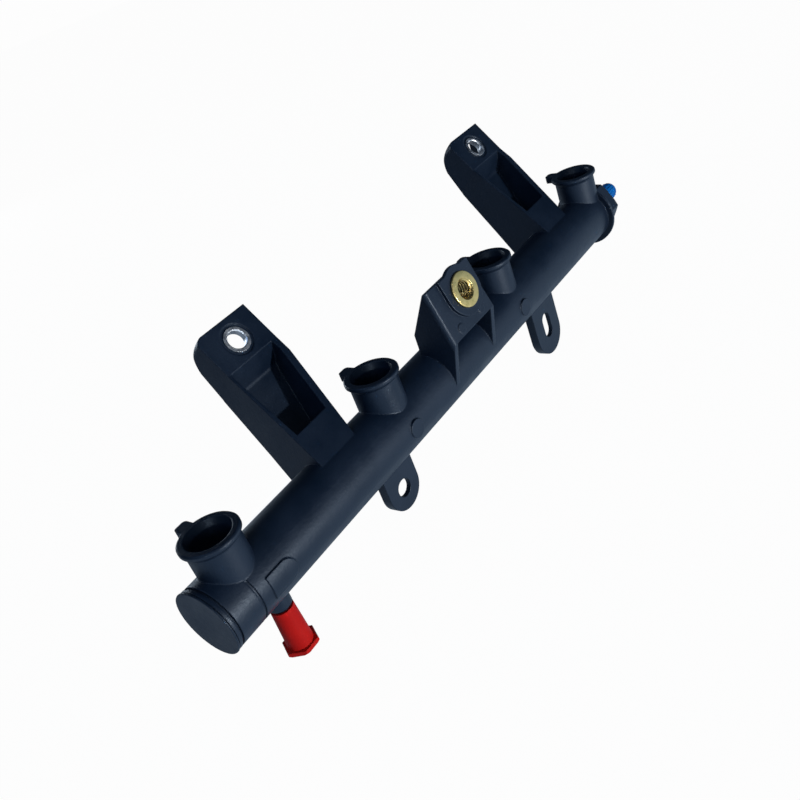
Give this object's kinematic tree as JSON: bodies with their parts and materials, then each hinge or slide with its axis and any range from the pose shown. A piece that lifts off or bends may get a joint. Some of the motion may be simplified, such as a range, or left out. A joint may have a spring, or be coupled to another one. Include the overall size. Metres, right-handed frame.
{
  "type": "fuel rail",
  "caption": "Moulded black fuel rail tube with injector cups, sleeved bolt arms, a bracket with a brass insert, slotted tabs, a capped test valve and a capped inlet.",
  "frame": {"origin": "centre of the seat at the bottom of the first injector cup, counted from the inlet end", "axes": "+X along the rail from the inlet end to the valve end, +Z out of the injector cups' mouths, +Y to the side of the bolt arms"},
  "size_m": [0.3021, 0.0622, 0.0962],
  "materials": {
    "black_nylon": "satin glass-filled nylon",
    "cap_nylon": "satin glass-filled nylon",
    "steel": "turned, zinc plated",
    "insert_brass": "turned",
    "valve_brass": "turned",
    "red_plastic": "smooth",
    "blue_plastic": "smooth",
    "seal_rubber": "matt",
    "spring_steel": "drawn wire"
  },
  "bodies": {
    "root": {"rail_body": "black_nylon", "end_cap": "cap_nylon", "near_sleeve": "steel", "far_sleeve": "steel", "bracket_insert": "insert_brass", "inlet_transit_cap": "red_plastic", "valve_stem": "valve_brass", "core_barrel": "valve_brass", "core_gasket": "seal_rubber", "core_pin": "valve_brass", "core_seal": "seal_rubber", "core_spring": "spring_steel", "dust_cap": "blue_plastic", "dust_cap_seal": "seal_rubber"}
  },
  "joints": []
}
